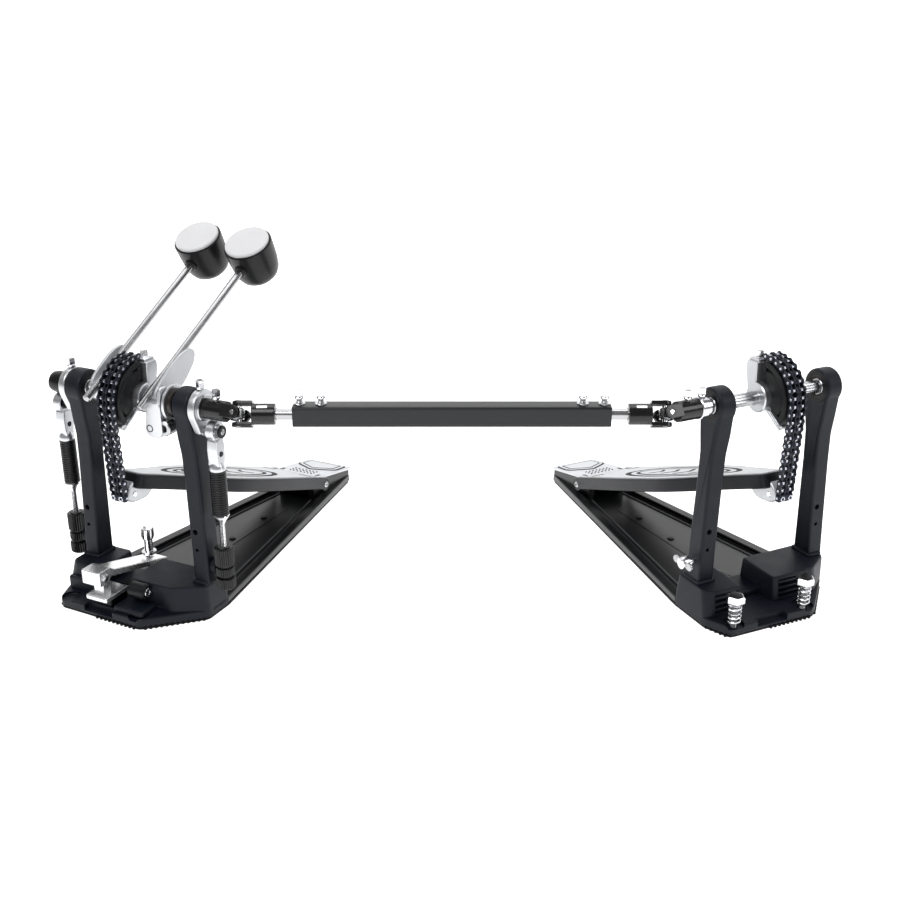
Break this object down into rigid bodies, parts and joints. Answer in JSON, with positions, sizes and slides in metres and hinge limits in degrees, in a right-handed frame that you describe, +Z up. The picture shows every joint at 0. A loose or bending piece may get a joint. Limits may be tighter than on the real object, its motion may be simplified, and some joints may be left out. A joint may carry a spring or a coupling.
{
  "type": "double bass drum pedal",
  "caption": "Double bass drum pedal: chain-driven main pedal with twin beaters and hoop clamp, linked by a telescopic drive shaft to a slave pedal with spurs.",
  "frame": {"origin": "centre of the bounding box at floor level", "axes": "+X along the drive shaft from the main pedal to the slave pedal, +Y from the drum side towards the heels, +Z up"},
  "size_m": [0.6338, 0.3314, 0.2877],
  "materials": {
    "coat": "satin blue-black powder coat",
    "plate": "semi-gloss dark grey coat",
    "rubber": "matt black rubber",
    "board": "dark grey coat with a pale satin top",
    "heel": "pale satin aluminium",
    "bright": "bright plated steel",
    "silver": "polished cast aluminium",
    "tube": "satin grey aluminium",
    "black": "black coat",
    "spring": "black spring steel",
    "chain": "blue-black steel with bright rivet ends",
    "headblack": "glossy black plastic",
    "face": "smooth white plastic"
  },
  "bodies": {
    "main_frame": {"main_base_plate": "plate", "main_rubber_mat": "rubber", "main_front_casting": "coat", "main_posts": "coat", "main_bearings": "black", "main_heel_plate": "heel", "main_hinge_pin": "bright", "hoop_clamp_foot": "bright"},
    "clamp_jaw": {"hoop_clamp_rocker": "coat"},
    "clamp_screw": {"hoop_clamp_bolt": "bright"},
    "main_axle": {"main_shaft": "bright", "main_cam": "black", "main_cam_carrier": "silver", "main_chain_wrap": "chain", "outer_beater_holder": "silver", "outer_spring_crank": "silver", "main_key_bolts": "bright"},
    "outer_beater": {"outer_beater_rod": "bright", "outer_beater_body": "headblack", "outer_beater_face": "face"},
    "main_chain": {"main_chain_run": "chain"},
    "main_board": {"main_footboard": "board", "main_chain_connector": "silver"},
    "outer_tension": {"outer_spring_rod": "black", "outer_spring": "spring"},
    "outer_swivel": {"outer_spring_swivel": "silver"},
    "inner_axle": {"inner_shaft": "bright", "inner_beater_holder": "silver", "inner_spring_crank": "silver", "main_inner_yoke": "silver", "inner_key_bolts": "bright"},
    "inner_beater": {"inner_beater_rod": "bright", "inner_beater_body": "headblack", "inner_beater_face": "face"},
    "inner_tension": {"inner_spring_rod": "black", "inner_spring": "spring"},
    "inner_swivel": {"inner_spring_swivel": "silver"},
    "drive_line": {"drive_tube": "tube", "drive_tube_bolts": "bright", "main_drive_rod": "silver", "main_joint_cross": "bright"},
    "slave_frame": {"slave_base_plate": "plate", "slave_rubber_mat": "rubber", "slave_front_casting": "coat", "slave_posts": "coat", "slave_bearings": "black", "slave_heel_plate": "heel", "slave_hinge_pin": "bright", "slave_spurs": "black"},
    "slave_drive": {"slave_drive_rod": "silver", "slave_joint_cross": "bright"},
    "slave_axle": {"slave_shaft": "bright", "slave_cam": "black", "slave_cam_carrier": "silver", "slave_chain_wrap": "chain", "slave_inner_yoke": "silver", "slave_key_bolts": "bright"},
    "slave_chain": {"slave_chain_run": "chain"},
    "slave_board": {"slave_footboard": "board", "slave_chain_connector": "silver"}
  },
  "joints": [
    {"name": "main_shaft_turn", "type": "hinge", "parent": "main_frame", "child": "main_axle", "pos_m": [-0.2408, -0.0976, 0.177], "axis": [0.8988, -0.4384, 0], "range_deg": [0, 60], "stiffness_Nm_per_rad": 0.8, "springref_deg": -20.05},
    {"name": "outer_beater_height", "type": "slide", "parent": "main_axle", "child": "outer_beater", "axis": [0.386, 0.7914, 0.4741], "range_m": [-0.015, 0.015]},
    {"name": "main_chain_swing", "type": "hinge", "parent": "main_axle", "child": "main_chain", "pos_m": [-0.25371, -0.12406, 0.194], "axis": [0.8988, -0.4384, 0], "range_deg": [-65, 0]},
    {"name": "main_footboard_tilt", "type": "hinge", "parent": "main_frame", "child": "main_board", "pos_m": [-0.14348, 0.10193, 0.021], "axis": [0.8988, -0.4384, 0], "range_deg": [0, 7.7]},
    {"name": "outer_spring_tilt", "type": "hinge", "parent": "main_frame", "child": "outer_tension", "pos_m": [-0.30821, -0.06472, 0.044], "axis": [0.8988, -0.4384, 0], "range_deg": [-7.2, 0]},
    {"name": "outer_spring_stretch", "type": "slide", "parent": "outer_tension", "child": "outer_swivel", "axis": [0, 0, 1], "range_m": [0, 0.0098], "deforming": ["outer_spring"]},
    {"name": "inner_shaft_turn", "type": "hinge", "parent": "main_frame", "child": "inner_axle", "pos_m": [-0.2408, -0.0976, 0.177], "axis": [0.8988, -0.4384, 0], "range_deg": [0, 60]},
    {"name": "inner_beater_height", "type": "slide", "parent": "inner_axle", "child": "inner_beater", "axis": [0.386, 0.7914, 0.4741], "range_m": [-0.015, 0.015]},
    {"name": "inner_spring_tilt", "type": "hinge", "parent": "main_frame", "child": "inner_tension", "pos_m": [-0.17339, -0.13048, 0.044], "axis": [0.8988, -0.4384, 0], "range_deg": [-7.2, 0]},
    {"name": "inner_spring_stretch", "type": "slide", "parent": "inner_tension", "child": "inner_swivel", "axis": [0, 0, 1], "range_m": [0, 0.0098], "deforming": ["inner_spring"]},
    {"name": "drive_tube_turn", "type": "hinge", "parent": "main_frame", "child": "drive_line", "pos_m": [0.0062, -0.14078, 0.177], "axis": [1, 0, 0], "range_deg": [0, 60]},
    {"name": "pedal_spacing", "type": "slide", "parent": "main_frame", "child": "slave_frame", "axis": [1, 0, 0], "range_m": [-0.008, 0.06]},
    {"name": "slave_shaft_turn", "type": "hinge", "parent": "slave_frame", "child": "slave_axle", "pos_m": [0.2532, -0.0976, 0.177], "axis": [0.8988, 0.4384, 0], "range_deg": [0, 60], "stiffness_Nm_per_rad": 0.8, "springref_deg": -20.05},
    {"name": "slave_chain_swing", "type": "hinge", "parent": "slave_axle", "child": "slave_chain", "pos_m": [0.26611, -0.12406, 0.194], "axis": [0.8988, 0.4384, 0], "range_deg": [-65, 0]},
    {"name": "slave_footboard_tilt", "type": "hinge", "parent": "slave_frame", "child": "slave_board", "pos_m": [0.15588, 0.10193, 0.021], "axis": [0.8988, 0.4384, 0], "range_deg": [0, 7.7]},
    {"name": "slave_drive_turn", "type": "hinge", "parent": "slave_frame", "child": "slave_drive", "pos_m": [0.0062, -0.14078, 0.177], "axis": [1, 0, 0], "range_deg": [0, 60]},
    {"name": "clamp_jaw_tilt", "type": "hinge", "parent": "main_frame", "child": "clamp_jaw", "pos_m": [-0.26305, -0.109, 0.033], "axis": [0.8988, -0.4384, 0], "range_deg": [-3.5, 2.5]},
    {"name": "clamp_screw_travel", "type": "slide", "parent": "main_frame", "child": "clamp_screw", "axis": [0, 0, 1], "range_m": [-0.0023, 0.0017]}
  ],
  "couplings": [
    {"joint": "main_footboard_tilt", "follows": "main_shaft_turn", "ratio": 0.126},
    {"joint": "main_chain_swing", "follows": "main_shaft_turn", "ratio": -1.065},
    {"joint": "outer_spring_tilt", "follows": "main_shaft_turn", "ratio": -0.1123},
    {"joint": "outer_spring_stretch", "follows": "main_shaft_turn", "m_per_rad": 0.00898},
    {"joint": "slave_footboard_tilt", "follows": "slave_shaft_turn", "ratio": 0.126},
    {"joint": "slave_chain_swing", "follows": "slave_shaft_turn", "ratio": -1.065},
    {"joint": "slave_drive_turn", "follows": "slave_shaft_turn", "ratio": 1},
    {"joint": "drive_tube_turn", "follows": "slave_shaft_turn", "ratio": 1},
    {"joint": "inner_shaft_turn", "follows": "slave_shaft_turn", "ratio": 1},
    {"joint": "inner_spring_tilt", "follows": "slave_shaft_turn", "ratio": -0.1123},
    {"joint": "inner_spring_stretch", "follows": "slave_shaft_turn", "m_per_rad": 0.00898},
    {"joint": "clamp_screw_travel", "follows": "clamp_jaw_tilt", "m_per_rad": 0.036}
  ]
}
